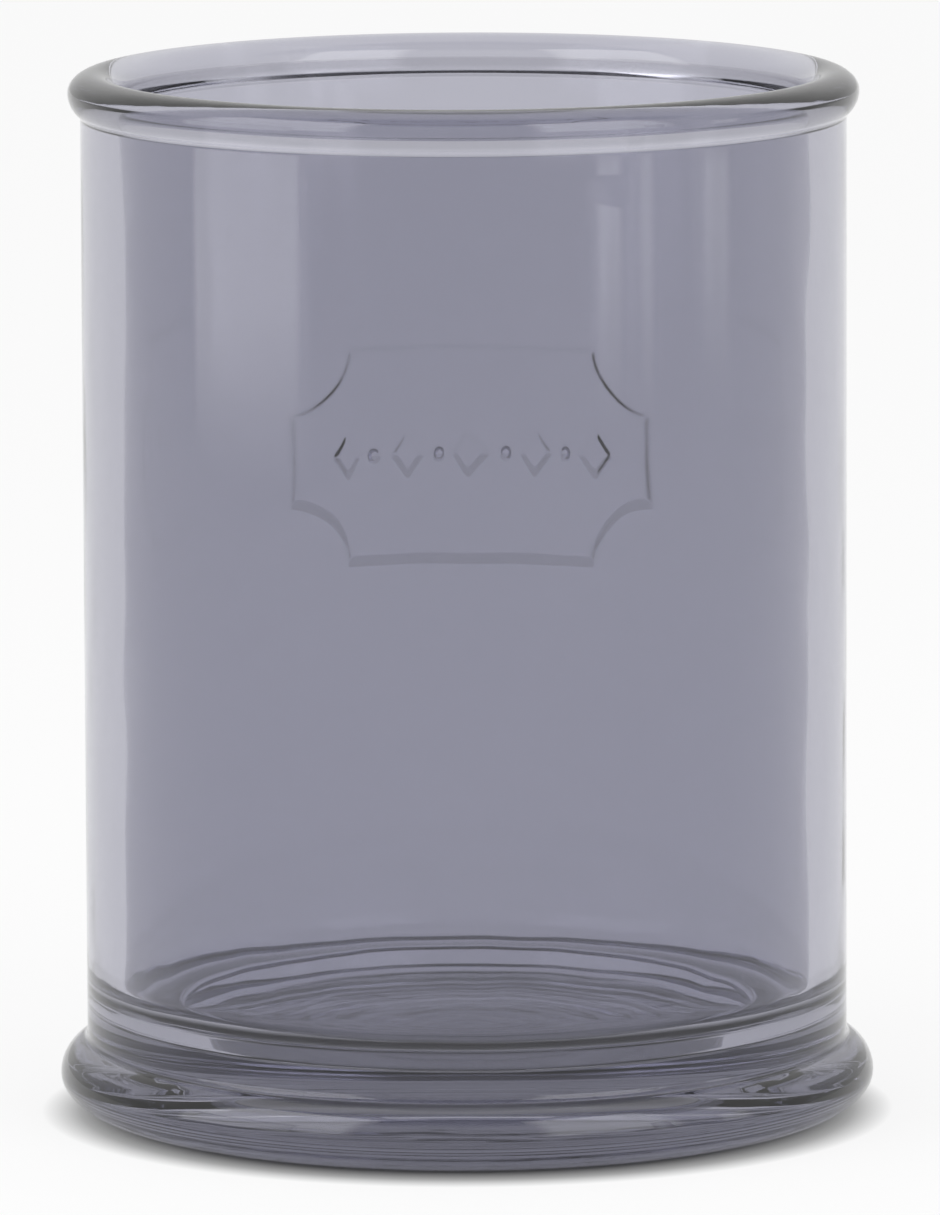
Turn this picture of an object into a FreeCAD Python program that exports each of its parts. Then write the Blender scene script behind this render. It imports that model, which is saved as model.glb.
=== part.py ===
# Bathroom tumbler of pressed glass: a straight round cup on a flared foot, with a rolled rim and a raised
# label panel. All lengths are in millimetres. +Z is up, the tumbler stands on z = 0, its axis is the Z axis and
# the panel is on the +Y side.
import FreeCAD, Part
import Sketcher
import math
import os

Vector = FreeCAD.Vector

# The driving sizes: name, value, what it is.
SIZES = [
    ("overall_height", 105.0, "standing face to top of rim"),
    ("wall_diameter", 76.6, "outside of the straight wall"),
    ("wall_thickness", 4.0, "straight wall"),
    ("rim_height", 4.3, "top of the straight wall to top of rim"),
    ("rim_overhang", 1.25, "how far the bead stands out from the wall"),
    ("rim_top_round", 2.0, "outer rounding of the bead's top"),
    ("rim_lip_round", 2.0, "inner rounding of the bead's top"),
    ("foot_lower_height", 3.8, "standing face to the widest line of the foot"),
    ("foot_upper_height", 3.6, "widest line of the foot to its seam with the cup"),
    ("foot_overhang", 2.7, "how far the foot stands out from the wall"),
    ("heel_rise", 0.5, "lift of the foot's underside outside the standing ring"),
    ("heel_width", 3.4, "width of that lifted part"),
    ("standing_ring_width", 5.0, "flat ring that touches the table"),
    ("underside_depth", 1.4, "depth of the pushed-up underside"),
    ("underside_slope", 2.2, "width of the slope into it"),
    ("floor_thickness", 1.6, "cup floor above the foot's seam"),
    ("floor_recess_diameter", 56.4, "sunken middle of the cup floor"),
    ("floor_recess_slope", 0.5, "how far the side of the sunken middle leans out"),
    ("floor_ledge_rise", 2.5, "sunken middle up to the ledge around it"),
    ("floor_corner_radius", 3.0, "rounding between the ledge and the wall"),
    ("panel_width", 41.7, "straight across the panel"),
    ("panel_height", 23.5, "bottom edge to top edge of the panel"),
    ("panel_centre_height", 61.6, "standing face to the panel's middle"),
    ("panel_relief", 0.6, "how far the panel stands out from the wall"),
    ("panel_notch_radius", 6.5, "round notch in each corner of the panel"),
    ("panel_bevel", 0.35, "bevel around the panel's outer face"),
    ("lozenge_count", 5, "lozenges in the row"),
    ("lozenge_pitch", 7.2, "spacing of the lozenges along the panel's face"),
    ("lozenge_width", 4.4, "across a lozenge"),
    ("lozenge_height", 6.2, "bottom point to top point of a lozenge"),
    ("lozenge_relief", 0.5, "how far a lozenge stands out from the panel"),
    ("lozenge_bevel", 0.35, "bevel around a lozenge's face"),
    ("pip_diameter", 1.4, "ball that makes a pip, half sunk in the panel"),
]

doc = FreeCAD.newDocument("bathroom_tumbler")
sheet = doc.addObject("Spreadsheet::Sheet", "Sizes")
for row, (alias, number, note) in enumerate(SIZES, start=1):
    sheet.set(f"A{row}", alias)
    sheet.set(f"B{row}", str(number))
    sheet.set(f"C{row}", note)
    sheet.setAlias(f"B{row}", alias)
doc.recompute()

# Radii and levels shared by the pieces, as formulas on the sheet.
WALL_RADIUS = "Sizes.wall_diameter / 2"
BORE_RADIUS = "(Sizes.wall_diameter / 2 - Sizes.wall_thickness)"
RIM_RADIUS = "(Sizes.wall_diameter / 2 + Sizes.rim_overhang)"
RIM_SEAM = "(Sizes.overall_height - Sizes.rim_height)"
RIM_WIDEST = "(Sizes.overall_height - Sizes.rim_top_round)"
FOOT_RADIUS = "(Sizes.wall_diameter / 2 + Sizes.foot_overhang)"
FOOT_SEAM = "(Sizes.foot_lower_height + Sizes.foot_upper_height)"
FOOT_ROUND = "(Sizes.foot_lower_height - Sizes.heel_rise)"
HEEL_RADIUS = f"({FOOT_RADIUS} - {FOOT_ROUND})"
STANDING_OUTER = f"({HEEL_RADIUS} - Sizes.heel_width)"
STANDING_INNER = f"({STANDING_OUTER} - Sizes.standing_ring_width)"
UNDERSIDE_RADIUS = f"({STANDING_INNER} - Sizes.underside_slope)"
FLOOR_LEVEL = f"({FOOT_SEAM} + Sizes.floor_thickness)"
RECESS_RADIUS = "(Sizes.floor_recess_diameter / 2)"
LEDGE_LEVEL = f"({FLOOR_LEVEL} + Sizes.floor_ledge_rise)"
CORNER_CENTRE = f"({BORE_RADIUS} - Sizes.floor_corner_radius)"
WALL_SEAM = f"({LEDGE_LEVEL} + Sizes.floor_corner_radius)"
PANEL_RADIUS = "(Sizes.wall_diameter / 2 + Sizes.panel_relief)"
PANEL_BOTTOM = "(Sizes.panel_centre_height - Sizes.panel_height / 2)"
PANEL_TOP = "(Sizes.panel_centre_height + Sizes.panel_height / 2)"
PITCH_ANGLE = f"(Sizes.lozenge_pitch / {PANEL_RADIUS} * 180 / pi)"


def value(formula):
    return float(sheet.evalExpression(formula.replace("Sizes.", "")))


def new_body(label):
    body = doc.addObject("PartDesign::Body", label)
    body.Label = label
    return body


def origin_feature(body, role):
    return next(item for item in body.Origin.OriginFeatures if item.Role == role)


def new_sketch(body, name, role):
    sketch = body.newObject("Sketcher::SketchObject", name)
    sketch.AttachmentSupport = [(origin_feature(body, role), "")]
    sketch.MapMode = "FlatFace"
    return sketch


def set_coordinate(sketch, axis, element, point, formula):
    # Binds one coordinate of a sketch point, measured from the sketch's origin.
    if abs(value(formula)) < 1e-9:
        sketch.addConstraint(Sketcher.Constraint("PointOnObject", element, point, -2 if axis == "X" else -1))
        return
    constraint = Sketcher.Constraint("Distance" + axis, -1, 1, element, point, value(formula))
    sketch.setExpression(f"Constraints[{sketch.addConstraint(constraint)}]", formula)


def arc_between(start, end, centre_height):
    # The arc through two points with its centre at the given height, and whether it runs from start to end.
    run = end.x - start.x
    rise = ((end.y - centre_height) ** 2 - (start.y - centre_height) ** 2) / 2
    centre = Vector((start.x + end.x) / 2 + rise / run, centre_height)
    first = math.atan2(start.y - centre_height, start.x - centre.x)
    last = math.atan2(end.y - centre_height, end.x - centre.x)
    forward = (last - first) % (2 * math.pi) < math.pi
    low, high = (first, last) if forward else (last, first)
    circle = Part.Circle(centre, Vector(0, 0, 1), start.distanceToPoint(centre))
    return Part.ArcOfCircle(circle, low, high), forward


def draw_outline(sketch, corners, arcs=None):
    # A closed outline through corners given as (across, up) formulas. Each item of arcs makes the edge that
    # leaves the corner of that number an arc with its centre at the given height.
    arcs = arcs or {}
    points = [Vector(value(across), value(up)) for across, up in corners]
    ends = []
    for number, start in enumerate(points):
        end = points[(number + 1) % len(points)]
        if number in arcs:
            edge, forward = arc_between(start, end, value(arcs[number]))
        else:
            edge, forward = Part.LineSegment(start, end), True
        sketch.addGeometry(edge)
        ends.append((1, 2) if forward else (2, 1))
    for number in range(len(points)):
        following = (number + 1) % len(points)
        joined = Sketcher.Constraint("Coincident", number, ends[number][1], following, ends[following][0])
        sketch.addConstraint(joined)
    for number, (across, up) in enumerate(corners):
        set_coordinate(sketch, "X", number, ends[number][0], across)
        set_coordinate(sketch, "Y", number, ends[number][0], up)
    for number, centre_height in arcs.items():
        set_coordinate(sketch, "Y", number, 3, centre_height)


def turn(body, sketch, name):
    revolution = body.newObject("PartDesign::Revolution", name)
    revolution.Profile = sketch
    revolution.ReferenceAxis = (sketch, ["V_Axis"])
    revolution.Angle = 360
    return revolution


def turned_piece(label, corners, arcs=None):
    body = new_body(label)
    section = new_sketch(body, label + "_section", "XZ_Plane")
    draw_outline(section, corners, arcs)
    turn(body, section, label + "_turn")
    return body


def make_foot_disc():
    return turned_piece(
        "foot_disc",
        [
            ("0", "Sizes.underside_depth"),
            (UNDERSIDE_RADIUS, "Sizes.underside_depth"),
            (STANDING_INNER, "0"),
            (STANDING_OUTER, "0"),
            (HEEL_RADIUS, "Sizes.heel_rise"),
            (FOOT_RADIUS, "Sizes.foot_lower_height"),
            (WALL_RADIUS, FOOT_SEAM),
            ("0", FOOT_SEAM),
        ],
        {4: "Sizes.foot_lower_height", 5: "Sizes.foot_lower_height"},
    )


def make_cup_floor():
    return turned_piece(
        "cup_floor",
        [
            ("0", FOOT_SEAM),
            (WALL_RADIUS, FOOT_SEAM),
            (WALL_RADIUS, WALL_SEAM),
            (BORE_RADIUS, WALL_SEAM),
            (CORNER_CENTRE, LEDGE_LEVEL),
            (f"({RECESS_RADIUS} + Sizes.floor_recess_slope)", LEDGE_LEVEL),
            (RECESS_RADIUS, FLOOR_LEVEL),
            ("0", FLOOR_LEVEL),
        ],
        {3: WALL_SEAM},
    )


def make_side_wall():
    return turned_piece(
        "side_wall",
        [
            (BORE_RADIUS, WALL_SEAM),
            (WALL_RADIUS, WALL_SEAM),
            (WALL_RADIUS, RIM_SEAM),
            (BORE_RADIUS, RIM_SEAM),
        ],
    )


def make_rim_bead():
    lip_height = "(Sizes.overall_height - Sizes.rim_lip_round)"
    return turned_piece(
        "rim_bead",
        [
            (BORE_RADIUS, RIM_SEAM),
            (WALL_RADIUS, RIM_SEAM),
            (RIM_RADIUS, RIM_WIDEST),
            (f"({RIM_RADIUS} - Sizes.rim_top_round)", "Sizes.overall_height"),
            (f"({BORE_RADIUS} + Sizes.rim_lip_round)", "Sizes.overall_height"),
            (BORE_RADIUS, lip_height),
        ],
        {1: RIM_WIDEST, 2: RIM_WIDEST, 4: lip_height},
    )


def bevel_outer_face(body, feature, name, size, is_outer):
    # Bevels every edge of the one face that is_outer picks.
    face = next(face for face in feature.Shape.Faces if is_outer(face))
    edges = []
    for number, edge in enumerate(feature.Shape.Edges, start=1):
        if any(edge.isSame(rim) for rim in face.Edges):
            edges.append(f"Edge{number}")
    bevel = body.newObject("PartDesign::Chamfer", name)
    bevel.Base = (feature, edges)
    bevel.setExpression("Size", size)
    return bevel


def on_panel_face(face):
    return isinstance(face.Surface, Part.Cylinder) and abs(face.Surface.Radius - value(PANEL_RADIUS)) < 1e-6


def make_label_panel():
    body = new_body("label_panel")
    section = new_sketch(body, "label_panel_section", "YZ_Plane")
    corners = [
        (WALL_RADIUS, PANEL_BOTTOM),
        (PANEL_RADIUS, PANEL_BOTTOM),
        (PANEL_RADIUS, PANEL_TOP),
        (WALL_RADIUS, PANEL_TOP),
    ]
    draw_outline(section, corners)
    slab = turn(body, section, "label_panel_turn")
    slab.Midplane = True
    slab.setExpression("Angle", "2 * asin(Sizes.panel_width / Sizes.wall_diameter)")
    doc.recompute()
    whole = slab.Shape.Volume

    notches = new_sketch(body, "label_panel_notches", "XZ_Plane")
    for side in ("", "-"):
        for height in (PANEL_BOTTOM, PANEL_TOP):
            across = side + "Sizes.panel_width / 2"
            middle = Vector(value(across), value(height))
            radius = value("Sizes.panel_notch_radius")
            circle = notches.addGeometry(Part.Circle(middle, Vector(0, 0, 1), radius))
            set_coordinate(notches, "X", circle, 3, across)
            set_coordinate(notches, "Y", circle, 3, height)
            limit = notches.addConstraint(Sketcher.Constraint("Radius", circle, radius))
            notches.setExpression(f"Constraints[{limit}]", "Sizes.panel_notch_radius")
    pocket = body.newObject("PartDesign::Pocket", "label_panel_corners")
    pocket.Profile = notches
    pocket.Type = "ThroughAll"
    doc.recompute()
    if pocket.Shape.Volume > whole * 0.99:
        raise RuntimeError("the corner notches missed the panel")
    bevel_outer_face(body, pocket, "label_panel_bevel", "Sizes.panel_bevel", on_panel_face)
    return body


def trim_to_panel(body, label):
    # Takes away all that lies inside the panel's face, so that the ornament sits on it.
    section = new_sketch(body, label + "_seat", "YZ_Plane")
    below = "(Sizes.panel_centre_height - Sizes.panel_height)"
    above = "(Sizes.panel_centre_height + Sizes.panel_height)"
    draw_outline(section, [("0", below), (PANEL_RADIUS, below), (PANEL_RADIUS, above), ("0", above)])
    groove = body.newObject("PartDesign::Groove", label + "_trim")
    groove.Profile = section
    groove.ReferenceAxis = (section, ["V_Axis"])
    groove.Angle = 360
    return groove


def repeat_around(body, feature, label, count):
    # Repeats the whole body about the axis, one pitch apart, and centres the row on +Y.
    pattern = body.newObject("PartDesign::PolarPattern", label + "_row")
    pattern.TransformMode = "Whole shape"
    pattern.Axis = (origin_feature(body, "Z_Axis"), [""])
    pattern.Mode = "Spacing"
    pattern.setExpression("Offset", PITCH_ANGLE)
    pattern.setExpression("Occurrences", count)
    body.Tip = pattern
    body.Placement = FreeCAD.Placement(Vector(0, 0, 0), FreeCAD.Rotation(Vector(0, 0, 1), -1))
    body.setExpression("Placement.Rotation.Angle", f"-({count} - 1) / 2 * {PITCH_ANGLE}")


def make_panel_lozenges():
    body = new_body("panel_lozenges")
    outline = new_sketch(body, "panel_lozenges_outline", "XZ_Plane")
    half_width = "Sizes.lozenge_width / 2"
    low = "(Sizes.panel_centre_height - Sizes.lozenge_height / 2)"
    high = "(Sizes.panel_centre_height + Sizes.lozenge_height / 2)"
    middle = "Sizes.panel_centre_height"
    draw_outline(outline, [("0", low), (half_width, middle), ("0", high), ("-" + half_width, middle)])
    stud = body.newObject("PartDesign::Pad", "panel_lozenges_stud")
    stud.Profile = outline
    stud.Reversed = True
    stud.setExpression("Length", f"{PANEL_RADIUS} + Sizes.lozenge_relief")
    doc.recompute()
    furthest = stud.Shape.BoundBox.YMax
    bevel = bevel_outer_face(
        body, stud, "panel_lozenges_bevel", "Sizes.lozenge_bevel",
        lambda face: abs(face.BoundBox.YMin - furthest) < 1e-6,
    )
    trimmed = trim_to_panel(body, "panel_lozenges")
    doc.recompute()
    repeat_around(body, trimmed, "panel_lozenges", "Sizes.lozenge_count")
    return body


def make_panel_pips():
    body = new_body("panel_pips")
    ball = body.newObject("PartDesign::AdditiveSphere", "panel_pips_ball")
    ball.setExpression("Radius", "Sizes.pip_diameter / 2")
    ball.AttachmentSupport = [(origin_feature(body, "XY_Plane"), "")]
    ball.MapMode = "FlatFace"
    ball.setExpression("AttachmentOffset.Base.y", PANEL_RADIUS)
    ball.setExpression("AttachmentOffset.Base.z", "Sizes.panel_centre_height")
    trimmed = trim_to_panel(body, "panel_pips")
    doc.recompute()
    repeat_around(body, trimmed, "panel_pips", "(Sizes.lozenge_count - 1)")
    return body


pieces = [
    make_foot_disc(),
    make_cup_floor(),
    make_side_wall(),
    make_rim_bead(),
    make_label_panel(),
    make_panel_lozenges(),
    make_panel_pips(),
]
doc.recompute()

for item in doc.Objects:
    if "Invalid" in item.State or "Error" in item.State:
        raise RuntimeError(f"{item.Label} did not build: {item.State}")
for piece in pieces:
    if piece.Shape.isNull() or not piece.Shape.isValid():
        raise RuntimeError(f"{piece.Label} has no valid shape")

os.makedirs("parts", exist_ok=True)
for piece in pieces:
    piece.Shape.exportStep(f"parts/{piece.Label}.step")
    print(piece.Label, len(piece.Shape.Solids), round(piece.Shape.Volume, 1))
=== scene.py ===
import math

import bmesh
import bpy
from mathutils import Matrix, Vector, noise


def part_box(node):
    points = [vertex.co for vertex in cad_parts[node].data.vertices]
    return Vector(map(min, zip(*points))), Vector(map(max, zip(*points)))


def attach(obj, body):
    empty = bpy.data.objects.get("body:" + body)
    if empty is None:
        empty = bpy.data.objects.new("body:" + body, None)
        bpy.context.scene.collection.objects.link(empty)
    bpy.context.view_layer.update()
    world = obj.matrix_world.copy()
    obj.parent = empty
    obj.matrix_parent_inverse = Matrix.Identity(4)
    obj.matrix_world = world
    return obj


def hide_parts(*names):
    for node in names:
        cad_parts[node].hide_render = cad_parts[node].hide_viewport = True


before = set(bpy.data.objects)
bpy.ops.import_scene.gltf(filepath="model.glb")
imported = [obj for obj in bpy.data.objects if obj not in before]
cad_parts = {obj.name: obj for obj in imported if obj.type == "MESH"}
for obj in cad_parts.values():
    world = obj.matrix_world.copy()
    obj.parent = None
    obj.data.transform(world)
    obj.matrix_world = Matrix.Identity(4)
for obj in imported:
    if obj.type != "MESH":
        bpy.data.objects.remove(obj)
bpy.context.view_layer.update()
mm = 0.001


def nodePoints(name):  # radius and height of every corner of a CAD node, in mm
    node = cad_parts[name]
    points = []
    for corner in node.data.vertices:
        place = node.matrix_world @ corner.co
        points.append((math.hypot(place.x, place.y) / mm, place.z / mm))
    return points


def readSizes():
    low, high = {}, {}
    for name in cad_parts:
        low[name], high[name] = [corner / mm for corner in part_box(name)]
    foot, wall = nodePoints("foot_disc"), nodePoints("side_wall")
    size = {
        "height": high["rim_bead"].z,
        "rimRadius": high["rim_bead"].x,
        "rimSeam": low["rim_bead"].z,
        "wallRadius": high["side_wall"].x,
        "boreRadius": min(r for r, z in wall),
        "footRadius": high["foot_disc"].x,
        "footSeam": high["foot_disc"].z,
        "wallSeam": low["side_wall"].z,
        "panelLow": low["label_panel"].z,
        "panelHigh": high["label_panel"].z,
        "panelRadius": high["label_panel"].y,
        "panelSide": high["label_panel"].x,
    }
    cupFloor = [(r, z) for r, z in nodePoints("cup_floor")
                if z > size["footSeam"] + 0.5 and r < size["boreRadius"] - 0.2]
    size["floorLevel"] = min(z for r, z in cupFloor)
    size["recessRadius"] = max(r for r, z in cupFloor if z < size["floorLevel"] + 0.01)
    size["ledgeLevel"] = min(z for r, z in cupFloor if r > size["recessRadius"] + 1)
    size["ledgeRadius"] = min(r for r, z in cupFloor if z > size["ledgeLevel"] - 0.01)
    size["footWidest"] = min(z for r, z in foot if r > size["footRadius"] - 0.01)
    size["rimWidest"] = min(z for r, z in nodePoints("rim_bead") if r > size["rimRadius"] - 0.01)
    onTable = [r for r, z in foot if z < 0.01]
    size["standOuter"], size["standInner"] = max(onTable), min(onTable)
    inside = [(r, z) for r, z in foot if r < size["standInner"] - 0.5 and z < size["footWidest"]]
    size["underDepth"] = max(z for r, z in inside)
    size["underRadius"] = max(r for r, z in inside if z > size["underDepth"] - 0.01)
    return size


size = readSizes()
print("sizes read:", {name: round(value, 2) for name, value in size.items()})


glassBody = {
    "columns": 180,          # steps round the plain part of the cup
    "panelStep": 0.5,        # mm, mesh step on the panel
    "panelEdgeCuts": 1,      # extra cuts of the mesh along the raised edges
    "panelSlope": 1.5,       # mm, width of the panel's sloping edge
    "panelSideSlope": 1.8,   # the same for its upright ends
    "ornamentSlope": 1.05,
    "notchRadius": 6.5,      # round notches at the panel's corners
    "edgeInset": 0.15,       # mm, keeps the panel's ends inside its CAD width
    "edgeMargin": 0.4,       # mm, how far the extra cuts reach past a raised edge
    "pipMargin": 0.6,        # the same round a pip
    "panelMargin": 1.5,      # mm, fine rows above and below the panel
    "wallStep": 2.5,         # mm, mesh step up the plain wall
    "boreStep": 1.3,         # the same inside
    "lipExtra": 0.5,         # mm, how much longer the round is on the inner side of the rim
    "footCove": 0.7,         # soft inner corner above the foot
    "rimCove": 0.35,         # the same below the rim
    "stepRound": 0.9,        # soft edges of the step in the cup floor
    "floorCrown": 0.3,       # how far the cup floor rises in the middle
    "underCrown": 0.5,       # the same for the pushed-up underside
    "underRings": 0.05,      # mould rings on the underside
    "underRingPitch": 3.2,
    "outsideWobble": 0.02,   # unevenness of the wall outside, away from the panel
    "wallWobble": 0.04,      # unevenness inside, left by the plunger
    "wallWobbleLength": 7.0,
    "wallWobbleStretch": 0.3,
    "bottomWobble": 0.04,
    "bottomWobbleLength": 3.4,
    "underWobble": 0.06,
    "underWobbleLength": 5.0,
}
ornament = {
    "lozenges": 5,
    "pitch": 7.2,
    "lozengeWidth": 4.4,
    "lozengeHeight": 6.2,
    "lozengeRelief": 0.5,
    "pipRadius": 0.7,
}


def sweep(middle, radii, start, end, steps):  # points on an ellipse's arc, angles in degrees
    points = []
    for step in range(steps + 1):
        angle = math.radians(start + (end - start) * step / steps)
        points.append((middle[0] + radii[0] * math.cos(angle), middle[1] + radii[1] * math.sin(angle)))
    return points


def bend(a, corner, b, steps):  # soft corner from a to b
    points = []
    for step in range(steps + 1):
        t = step / steps
        points.append(tuple(
            (1 - t) ** 2 * a[i] + 2 * t * (1 - t) * corner[i] + t * t * b[i] for i in (0, 1)
        ))
    return points


def run(a, b, longest):  # straight run in even steps
    steps = max(1, math.ceil(math.dist(a, b) / longest))
    return [(a[0] + (b[0] - a[0]) * step / steps, a[1] + (b[1] - a[1]) * step / steps)
            for step in range(steps + 1)]


def smooth(t):
    t = min(max(t, 0.0), 1.0)
    return t * t * (3 - 2 * t)


def bulge(radius, widest, seam, wallRadius):  # round that meets the wall at the seam: radius and end angle
    out, rise = radius - wallRadius, abs(seam - widest)
    roundRadius = (out * out + rise * rise) / (2 * out)
    return roundRadius, math.degrees(math.asin(rise / roundRadius))


def undersidePoints():
    rings = []
    for r, z in run((0.0, 0.0), (size["underRadius"], 0.0), 0.8):
        crown = glassBody["underCrown"] * (1 - (r / size["underRadius"]) ** 2)
        ripple = glassBody["underRings"] * math.cos(2 * math.pi * r / glassBody["underRingPitch"])
        rings.append((r, size["underDepth"] + crown + ripple * smooth((size["underRadius"] - r) / 3)))
    slope = []
    span = size["standInner"] - size["underRadius"]
    for step in range(1, 13):
        t = step / 12
        slope.append((size["underRadius"] + span * t, rings[-1][1] * (1 - smooth(t))))
    return rings + slope


def footPoints():
    wallRadius, cove = size["wallRadius"], glassBody["footCove"]
    points = run((size["standInner"], 0.0), (size["standOuter"], 0.0), 1.0)
    lowRound = (size["footRadius"] - size["standOuter"], size["footWidest"])
    points += sweep((size["standOuter"], size["footWidest"]), lowRound, -90, 0, 20)
    roundRadius, endAngle = bulge(size["footRadius"], size["footWidest"], size["footSeam"], wallRadius)
    middle = (size["footRadius"] - roundRadius, size["footWidest"])
    stop = endAngle - math.degrees(cove / roundRadius)
    points += sweep(middle, (roundRadius, roundRadius), 0, stop, 16)
    seam = (wallRadius, size["footSeam"])
    points += bend(points[-1], seam, (wallRadius, size["footSeam"] + cove), 8)
    return points


def rimPoints():
    wallRadius, cove = size["wallRadius"], glassBody["rimCove"]
    roundRadius, endAngle = bulge(size["rimRadius"], size["rimWidest"], size["rimSeam"], wallRadius)
    middle = (size["rimRadius"] - roundRadius, size["rimWidest"])
    start = -endAngle + math.degrees(cove / roundRadius)
    lower = sweep(middle, (roundRadius, roundRadius), start, 0, 14)
    points = bend((wallRadius, size["rimSeam"] - cove), (wallRadius, size["rimSeam"]), lower[0], 8)
    points += lower
    crest = (size["rimRadius"] + size["boreRadius"]) / 2
    topRound = size["height"] - size["rimWidest"]
    points += sweep((crest, size["rimWidest"]), (size["rimRadius"] - crest, topRound), 0, 90, 16)
    lipRound = topRound + glassBody["lipExtra"]
    points += sweep((crest, size["height"] - lipRound), (crest - size["boreRadius"], lipRound), 90, 180, 18)
    return points


def roundedRun(corners, steps):  # straight runs, each corner given as radius, height and rounding
    points = [corners[0][:2]]
    for before, (r, z, rounding), after in zip(corners, corners[1:], corners[2:]):
        here = Vector((r, z))
        back = (Vector(before[:2]) - here).normalized()
        ahead = (Vector(after[:2]) - here).normalized()
        half = back.angle(ahead) / 2
        middle = here + (back + ahead).normalized() * rounding / math.sin(half)
        arm = here + back * rounding / math.tan(half) - middle
        turn = (math.pi - 2 * half) * (1 if back.x * ahead.y - back.y * ahead.x > 0 else -1)
        for step in range(steps + 1):
            spot = middle + Matrix.Rotation(-turn * step / steps, 2) @ arm
            points.append((spot.x, spot.y))
    return points + [corners[-1][:2]]


def insidePoints():
    bore, ledge, level = size["boreRadius"], size["ledgeLevel"], size["floorLevel"]
    flatRadius = size["recessRadius"] - 2
    points = roundedRun([
        (bore, size["wallSeam"] + 0.5, 0),
        (bore, ledge, size["wallSeam"] - ledge),
        (size["ledgeRadius"], ledge, glassBody["stepRound"]),
        (size["recessRadius"], level, glassBody["stepRound"]),
        (flatRadius, level, 0),
    ], 14)
    for r, z in run((flatRadius, 0.0), (0.0, 0.0), 1.2):
        points.append((r, level + glassBody["floorCrown"] * smooth(1 - r / flatRadius)))
    return points


def glassProfile():  # from the middle of the underside out, up and back in to the middle of the cup floor
    margin, wallStep = glassBody["panelMargin"], glassBody["wallStep"]
    wallStart = (size["wallRadius"], size["footSeam"] + glassBody["footCove"])
    panelLow = (size["wallRadius"], size["panelLow"] - margin)
    panelHigh = (size["wallRadius"], size["panelHigh"] + margin)
    wallEnd = (size["wallRadius"], size["rimSeam"] - glassBody["rimCove"])
    rim = rimPoints()
    stretches = {
        "under": undersidePoints(),
        "outside": footPoints() + run(wallStart, panelLow, wallStep)
        + run(panelLow, panelHigh, glassBody["panelStep"]) + run(panelHigh, wallEnd, wallStep) + rim,
        "inside": run(rim[-1], (size["boreRadius"], size["wallSeam"] + 0.5), glassBody["boreStep"])
        + insidePoints(),
    }
    profile = []
    for side, points in stretches.items():
        for point in points:
            if not profile or math.dist(point, profile[-1][:2]) > 0.004:
                profile.append((*point, side))
    return profile


def columnAngles():  # finer steps behind the panel, angle 0 is +Y and grows towards +X
    half = math.asin(size["panelSide"] / size["wallRadius"]) + 0.04
    fine = math.ceil(2 * half * size["wallRadius"] / glassBody["panelStep"])
    coarse = math.ceil((2 * math.pi - 2 * half) / (2 * math.pi) * glassBody["columns"])
    angles = [-half + 2 * half * step / fine for step in range(fine)]
    angles += [half + (2 * math.pi - 2 * half) * step / coarse for step in range(coarse)]
    return angles


def panelDepth(across, up):  # how far a spot lies inside the panel's notched outline, in mm
    halfHeight = (size["panelHigh"] - size["panelLow"]) / 2
    halfWidth = size["panelSide"] - glassBody["edgeInset"]
    notch = math.hypot(abs(across) - halfWidth, abs(up) - halfHeight) - glassBody["notchRadius"]
    ends = (halfWidth - abs(across)) * glassBody["panelSlope"] / glassBody["panelSideSlope"]
    return min(ends, halfHeight - abs(up), notch)


def lozengeDepth(along, up):
    side = math.hypot(ornament["lozengeWidth"], ornament["lozengeHeight"])
    area = ornament["lozengeWidth"] * ornament["lozengeHeight"] / 2
    weight = abs(along) * ornament["lozengeHeight"] + abs(up) * ornament["lozengeWidth"]
    return (area - weight) / side


def ornamentDepths(along, up):  # distance inside the nearest lozenge and from the nearest pip's middle
    last = ornament["lozenges"] - 1
    nearest = min(max(round(along / ornament["pitch"] + last / 2), 0), last) - last / 2
    between = min(max(round(along / ornament["pitch"] + last / 2 - 0.5), 0), last - 1) - last / 2 + 0.5
    pip = math.hypot(along - between * ornament["pitch"], up)
    return lozengeDepth(along - nearest * ornament["pitch"], up), pip


def reliefAt(angle, z):  # how far the outside stands out from the plain wall
    if abs(angle) > math.pi / 2:
        return 0.0
    up = z - (size["panelLow"] + size["panelHigh"]) / 2
    depth = panelDepth(size["wallRadius"] * math.sin(angle), up)
    height = (size["panelRadius"] - size["wallRadius"]) * smooth(depth / glassBody["panelSlope"])
    lozenge, pip = ornamentDepths(size["panelRadius"] * angle, up)
    height += ornament["lozengeRelief"] * smooth(lozenge / glassBody["ornamentSlope"])
    dome = max(0.0, 1 - (pip / ornament["pipRadius"]) ** 2)
    return height + ornament["pipRadius"] * dome ** 0.75


def nearRelief(angle, z):  # true close to a raised edge
    if abs(angle) > math.pi / 2:
        return False
    up = z - (size["panelLow"] + size["panelHigh"]) / 2
    depth = panelDepth(size["wallRadius"] * math.sin(angle), up)
    lozenge, pip = ornamentDepths(size["panelRadius"] * angle, up)
    margin = glassBody["edgeMargin"]
    onPanel = -margin < depth < glassBody["panelSlope"] + margin
    onLozenge = -margin < lozenge < glassBody["ornamentSlope"] + margin
    return onPanel or onLozenge or pip < ornament["pipRadius"] + glassBody["pipMargin"]


def insideRipple(spot):  # wavy wall and wrinkled bottom, in mm
    low = 1 - smooth((spot.z - size["wallSeam"] + 1) / 6)
    top = smooth((size["height"] - 3 - spot.z) / 8)
    tall = Vector((spot.x, spot.y, spot.z * glassBody["wallWobbleStretch"])) / glassBody["wallWobbleLength"]
    wall = noise.noise(tall) + 0.5 * noise.noise(tall * 2.3 + Vector((7, 3, 5)))
    bottom = noise.noise(spot / glassBody["bottomWobbleLength"])
    return glassBody["wallWobble"] * top * (1 - low) * wall + glassBody["bottomWobble"] * low * bottom


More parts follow.
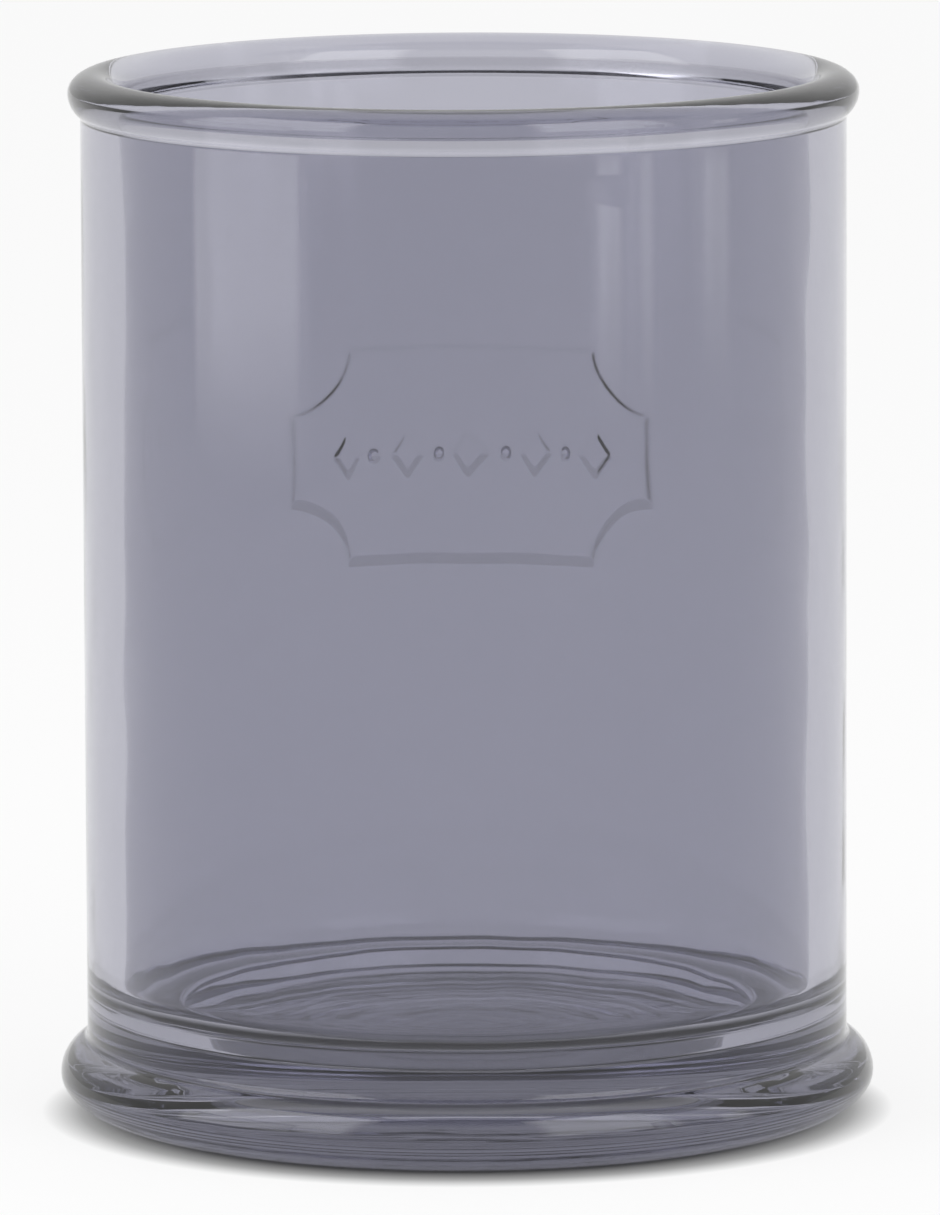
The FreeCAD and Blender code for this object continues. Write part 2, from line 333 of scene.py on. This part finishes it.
def outsideRipple(spot):
    fade = smooth((spot.z - size["footSeam"] - 1) / 6) * smooth((size["rimSeam"] - 1 - spot.z) / 6)
    tall = Vector((spot.x, spot.y, spot.z * glassBody["wallWobbleStretch"])) / glassBody["wallWobbleLength"]
    fade *= smooth(-2 * spot.y / size["wallRadius"])
    return glassBody["outsideWobble"] * fade * noise.noise(tall + Vector((11, 5, 3)))


def underRipple(spot):
    fade = smooth((size["standInner"] - math.hypot(spot.x, spot.y)) / 4)
    return glassBody["underWobble"] * fade * noise.noise(spot / glassBody["underWobbleLength"])


def buildGlass():
    profile, angles = glassProfile(), columnAngles()
    mesh = bmesh.new()
    outside = mesh.verts.layers.int.new("outside")
    wallLow, wallHigh = size["footSeam"] + 1, size["rimSeam"] - 1
    ripples = {"under": underRipple, "inside": insideRipple, "outside": lambda spot: 0.0}
    rows = []
    for index, (r, z, side) in enumerate(profile):
        before, after = profile[max(index - 1, 0)], profile[min(index + 1, len(profile) - 1)]
        along = Vector((after[0] - before[0], after[1] - before[1])).normalized()
        row = []
        for angle in angles if r > 1e-6 else [0.0]:
            shift = ripples[side](Vector((r * math.sin(angle), r * math.cos(angle), z)))
            away = r - along.y * shift if r > 1e-6 else 0.0
            corner = mesh.verts.new((away * math.sin(angle), away * math.cos(angle), z + along.x * shift))
            corner[outside] = abs(r - size["wallRadius"]) < 1e-6 and wallLow < z < wallHigh
            row.append(corner)
        rows.append(row)
    count = len(angles)
    for lower, upper in zip(rows, rows[1:]):
        for i in range(count):
            j = (i + 1) % count
            if len(lower) == 1:
                mesh.faces.new((lower[0], upper[i], upper[j]))
            elif len(upper) == 1:
                mesh.faces.new((lower[i], upper[0], lower[j]))
            else:
                mesh.faces.new((lower[i], upper[i], upper[j], lower[j]))
    sharp = []
    for edge in mesh.edges:
        a, b = edge.verts
        if a[outside] and b[outside]:
            spot = (a.co + b.co) / 2
            if nearRelief(math.atan2(spot.x, spot.y), spot.z):
                sharp.append(edge)
    bmesh.ops.subdivide_edges(mesh, edges=sharp, cuts=glassBody["panelEdgeCuts"], use_grid_fill=True)
    for corner in mesh.verts:
        angle, z = math.atan2(corner.co.x, corner.co.y), corner.co.z
        if math.hypot(corner.co.x, corner.co.y) > size["wallRadius"] - 0.2 and wallLow < z < wallHigh:
            r = size["wallRadius"] + reliefAt(angle, z) + outsideRipple(corner.co)
            corner.co.x, corner.co.y = r * math.sin(angle), r * math.cos(angle)
    bmesh.ops.recalc_face_normals(mesh, faces=mesh.faces)
    for face in mesh.faces:
        face.smooth = True
    bmesh.ops.scale(mesh, vec=(mm, mm, mm), verts=mesh.verts)
    data = bpy.data.meshes.new("tumblerGlass")
    mesh.to_mesh(data)
    mesh.free()
    glass = bpy.data.objects.new("tumblerGlass", data)
    bpy.context.collection.objects.link(glass)
    print("glass:", len(data.vertices), "corners,", len(data.polygons), "faces")
    return glass


smokedGlass = {
    "ior": 1.52,
    "colour": (0.525, 0.525, 0.595),  # tint of the surface
    "smoke": (0.5, 0.5, 0.56),        # absorption colour
    "density": 34.0,                  # per metre, with the smoke
    "rippleScale": 90.0,
    "rippleHeight": 0.01,             # mm
    "wearScale": 40.0,
    "wearDetail": 4.0,
    "roughLow": 0.0,
    "roughHigh": 0.02,
}


def makeSmokedGlass():
    finish = bpy.data.materials.new("smokedGlass")
    finish.use_nodes = True
    nodes, links = finish.node_tree.nodes, finish.node_tree.links
    shader = nodes["Principled BSDF"]
    shader.inputs["Base Color"].default_value = (*smokedGlass["colour"], 1)
    shader.inputs["Transmission Weight"].default_value = 1
    shader.inputs["IOR"].default_value = smokedGlass["ior"]
    place = nodes.new("ShaderNodeTexCoord")
    wear = nodes.new("ShaderNodeTexNoise")
    wear.inputs["Scale"].default_value = smokedGlass["wearScale"]
    wear.inputs["Detail"].default_value = smokedGlass["wearDetail"]
    rough = nodes.new("ShaderNodeMapRange")
    rough.inputs["To Min"].default_value = smokedGlass["roughLow"]
    rough.inputs["To Max"].default_value = smokedGlass["roughHigh"]
    ripple = nodes.new("ShaderNodeTexNoise")
    ripple.inputs["Scale"].default_value = smokedGlass["rippleScale"]
    ripple.inputs["Detail"].default_value = 1
    bump = nodes.new("ShaderNodeBump")
    bump.inputs["Strength"].default_value = 1
    bump.inputs["Distance"].default_value = smokedGlass["rippleHeight"] * mm
    smoke = nodes.new("ShaderNodeVolumeAbsorption")
    smoke.inputs["Color"].default_value = (*smokedGlass["smoke"], 1)
    smoke.inputs["Density"].default_value = smokedGlass["density"]
    links.new(place.outputs["Object"], wear.inputs["Vector"])
    links.new(place.outputs["Object"], ripple.inputs["Vector"])
    links.new(wear.outputs["Fac"], rough.inputs["Value"])
    links.new(rough.outputs["Result"], shader.inputs["Roughness"])
    links.new(ripple.outputs["Fac"], bump.inputs["Height"])
    links.new(bump.outputs["Normal"], shader.inputs["Normal"])
    links.new(smoke.outputs["Volume"], nodes["Material Output"].inputs["Volume"])
    return finish


tumbler = buildGlass()
tumbler.data.materials.append(makeSmokedGlass())
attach(tumbler, "root")
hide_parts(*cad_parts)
print("smoked glass set")


studio = {
    "floorColour": (0.85, 0.85, 0.85),
    "floorRough": 0.9,
    "floorHalf": 6.0,           # m
    "floorDrop": 0.0002,        # m, keeps the floor clear of the foot
    "plain": 0.82,              # share of plain white in the floor, the rest takes the shadow
    "paintedFootShadow": (              # that white by metres from the axis, dark only under the foot: a painted contact shadow
        (0.0, 0.4), (0.022, 0.4), (0.029, 0.03), (0.037, 0.03), (0.043, 1.0), (1.0, 1.0),
    ),
    "ambient": 0.82,            # world light on the floor, the skies are what camera and glass see
    "frontSky": ((0.0, 1.0), (0.55, 1.0), (0.76, 0.06), (1.0, 0.06)),  # by sine of height, dark overhead
    "backSky": ((0.0, 0.78), (0.2, 0.78), (0.4, 1.0), (1.0, 1.0)),     # a little dim low down
    "skyBlend": (-0.2, 0.1),    # where the front sky passes into the back one
    "lowFeather": 0.04,         # m, most that a box fades at its lower edge
    "bounces": 24,
    "glossyBounces": 12,
    "boxes": {                  # azimuth, distance, width, bottom, top, brightness, soft edge
        "leftBox": (-57, 0.52, 0.56, 0.035, 0.75, 2.8, 0.08),
        "rightBox": (42, 0.56, 0.46, 0.035, 0.75, 2.8, 0.08),
        "leftCard": (-66, 0.5, 0.36, 0.0, 0.2, 2.4, 0.03),
        "rightCard": (43.5, 0.57, 0.1, 0.0, 0.2, 2.1, 0.03),
        "narrowCard": (55.5, 0.57, 0.07, 0.0, 0.2, 2.0, 0.03),
        "sideCard": (80, 0.57, 0.13, 0.0, 0.2, 2.0, 0.04),
    },
}


def toneCurve(nodes, points):
    node = nodes.new("ShaderNodeFloatCurve")
    curve = node.mapping.curves[0]
    curve.points[0].location, curve.points[1].location = points[0], points[-1]
    for place, value in points[1:-1]:
        curve.points.new(place, value)
    for point in curve.points:
        point.handle_type = "VECTOR"
    node.mapping.update()
    return node


def makeFloor():  # one plain floor, the same for the camera and for the glass, with a painted contact shadow under the foot
    data = bpy.data.meshes.new("paleFloor")
    half = studio["floorHalf"]
    corners = [(-half, -half, 0), (half, -half, 0), (half, half, 0), (-half, half, 0)]
    data.from_pydata(corners, [], [(0, 1, 2, 3)])
    floor = bpy.data.objects.new("paleFloor", data)
    floor.location.z = -studio["floorDrop"]
    bpy.context.collection.objects.link(floor)
    finish = bpy.data.materials.new("paleFloor")
    finish.use_nodes = True
    data.materials.append(finish)
    nodes, links = finish.node_tree.nodes, finish.node_tree.links
    shader = nodes["Principled BSDF"]
    shader.inputs["Base Color"].default_value = (*studio["floorColour"], 1)
    shader.inputs["Roughness"].default_value = studio["floorRough"]
    shader.inputs["Specular IOR Level"].default_value = 0
    place = nodes.new("ShaderNodeTexCoord")
    away = nodes.new("ShaderNodeVectorMath")
    away.operation = "LENGTH"
    # painted contact shadow: the floor's white dims to dark under the foot
    paintedFootShadow = toneCurve(nodes, studio["paintedFootShadow"])
    white = nodes.new("ShaderNodeEmission")
    both = nodes.new("ShaderNodeMixShader")
    both.inputs["Fac"].default_value = studio["plain"]
    links.new(place.outputs["Object"], away.inputs[0])
    links.new(away.outputs["Value"], paintedFootShadow.inputs["Value"])
    links.new(paintedFootShadow.outputs["Value"], white.inputs["Strength"])
    links.new(shader.outputs["BSDF"], both.inputs[1])
    links.new(white.outputs["Emission"], both.inputs[2])
    links.new(both.outputs["Shader"], nodes["Material Output"].inputs["Surface"])


def makeWorld():
    world = bpy.data.worlds.new("studio")
    world.use_nodes = True
    bpy.context.scene.world = world
    nodes, links = world.node_tree.nodes, world.node_tree.links
    path = nodes.new("ShaderNodeLightPath")
    seen = nodes.new("ShaderNodeMath")
    seen.operation = "MAXIMUM"
    seenToo = nodes.new("ShaderNodeMath")
    seenToo.operation = "MAXIMUM"
    level = nodes.new("ShaderNodeMapRange")
    level.inputs["To Min"].default_value = studio["ambient"]
    place = nodes.new("ShaderNodeTexCoord")
    parts = nodes.new("ShaderNodeSeparateXYZ")
    frontSky, backSky = toneCurve(nodes, studio["frontSky"]), toneCurve(nodes, studio["backSky"])
    surround = nodes.new("ShaderNodeMapRange")
    surround.interpolation_type = "SMOOTHSTEP"
    surround.inputs["From Min"].default_value = studio["skyBlend"][0]
    surround.inputs["From Max"].default_value = studio["skyBlend"][1]
    links.new(place.outputs["Generated"], parts.inputs[0])
    links.new(parts.outputs["Z"], frontSky.inputs["Value"])
    links.new(parts.outputs["Z"], backSky.inputs["Value"])
    links.new(parts.outputs["Y"], surround.inputs["Value"])
    links.new(frontSky.outputs["Value"], surround.inputs["To Min"])
    links.new(backSky.outputs["Value"], surround.inputs["To Max"])
    links.new(surround.outputs["Result"], level.inputs["To Max"])
    links.new(path.outputs["Is Camera Ray"], seen.inputs[0])
    links.new(path.outputs["Is Glossy Ray"], seen.inputs[1])
    links.new(seen.outputs[0], seenToo.inputs[0])
    links.new(path.outputs["Is Transmission Ray"], seenToo.inputs[1])
    links.new(seenToo.outputs[0], level.inputs["Value"])
    links.new(level.outputs["Result"], nodes["Background"].inputs["Strength"])
    nodes["Background"].inputs["Color"].default_value = (1, 1, 1, 1)


def makeBoxes():  # softboxes and low bright cards with feathered edges
    for name, values in studio["boxes"].items():
        azimuth, distance, width, bottom, top, brightness, feather = values
        data = bpy.data.meshes.new(name)
        half = width / 2
        corners = [(-half, 0, bottom), (half, 0, bottom), (half, 0, top), (-half, 0, top)]
        data.from_pydata(corners, [], [(0, 1, 2, 3)])
        box = bpy.data.objects.new(name, data)
        angle = math.radians(azimuth)
        box.location = (distance * math.sin(angle), -distance * math.cos(angle), 0)
        box.rotation_euler.z = angle
        box.visible_camera = False  # as a lamp
        bpy.context.collection.objects.link(box)
        finish = bpy.data.materials.new(name)
        finish.use_nodes = True
        finish.cycles.emission_sampling = "NONE"  # mirror-like glass finds it by itself
        nodes, links = finish.node_tree.nodes, finish.node_tree.links
        nodes.remove(nodes["Principled BSDF"])
        place = nodes.new("ShaderNodeTexCoord")
        parts = nodes.new("ShaderNodeSeparateXYZ")
        side = nodes.new("ShaderNodeMath")
        side.operation = "ABSOLUTE"
        links.new(place.outputs["Object"], parts.inputs[0])
        links.new(parts.outputs["X"], side.inputs[0])
        level = nodes.new("ShaderNodeMapRange")
        level.inputs["To Min"].default_value = 1
        level.inputs["To Max"].default_value = brightness
        glow = nodes.new("ShaderNodeEmission")
        inset = None
        edges = (
            (side.outputs[0], half, half - feather),
            (parts.outputs["Z"], top, top - feather),
            (parts.outputs["Z"], bottom, bottom + min(feather, studio["lowFeather"])),
        )
        for socket, edge, inner in edges:
            ramp = nodes.new("ShaderNodeMapRange")
            ramp.interpolation_type = "SMOOTHSTEP"
            ramp.inputs["From Min"].default_value = edge
            ramp.inputs["From Max"].default_value = inner
            links.new(socket, ramp.inputs["Value"])
            if inset:
                both = nodes.new("ShaderNodeMath")
                both.operation = "MULTIPLY"
                links.new(inset, both.inputs[0])
                links.new(ramp.outputs["Result"], both.inputs[1])
                inset = both.outputs[0]
            else:
                inset = ramp.outputs["Result"]
        links.new(inset, level.inputs["Value"])
        links.new(level.outputs["Result"], glow.inputs["Strength"])
        links.new(glow.outputs["Emission"], nodes["Material Output"].inputs["Surface"])
        data.materials.append(finish)


photoView = {
    "lens": 381.1,
    "sensor": 36,
    "nearAndFar": (0.01, 50),
    "distance": 1.29185,
    "elevation": 8.31,
    "azimuth": 1.1,
    "roll": -0.236,            # degrees, the photo leans a little
    "aim": (0.0, 0.0, 0.0525),
    "aimPixel": (465.4, 590.4),
    "frameSize": (940, 1215),
}


def makeCamera():
    data = bpy.data.cameras.new("photoCamera")
    data.lens = photoView["lens"]
    data.sensor_width = photoView["sensor"]
    camera = bpy.data.objects.new("photoCamera", data)
    bpy.context.collection.objects.link(camera)
    azimuth, elevation = math.radians(photoView["azimuth"]), math.radians(photoView["elevation"])
    back = Vector((math.sin(azimuth) * math.cos(elevation), -math.cos(azimuth) * math.cos(elevation),
                   math.sin(elevation)))
    aim = Vector(photoView["aim"])
    turn = (-back).to_track_quat("-Z", "Y").to_matrix()
    width, height = photoView["frameSize"]
    perPixel = photoView["sensor"] / height / photoView["lens"]  # radians
    left = (width / 2 - photoView["aimPixel"][0]) * perPixel
    drop = (height / 2 - photoView["aimPixel"][1]) * perPixel
    turn = turn @ Matrix.Rotation(-left, 3, "Y") @ Matrix.Rotation(-drop, 3, "X")
    turn = turn @ Matrix.Rotation(math.radians(photoView["roll"]), 3, "Z")
    camera.matrix_world = Matrix.Translation(aim + back * photoView["distance"]) @ turn.to_4x4()
    data.clip_start, data.clip_end = photoView["nearAndFar"]
    bpy.context.scene.camera = camera


makeFloor()
makeWorld()
makeBoxes()
makeCamera()
scene = bpy.context.scene
scene.view_settings.view_transform = "Standard"
scene.cycles.max_bounces = studio["bounces"]
scene.cycles.transmission_bounces = studio["bounces"]
scene.cycles.glossy_bounces = studio["glossyBounces"]
print("stage and camera set")
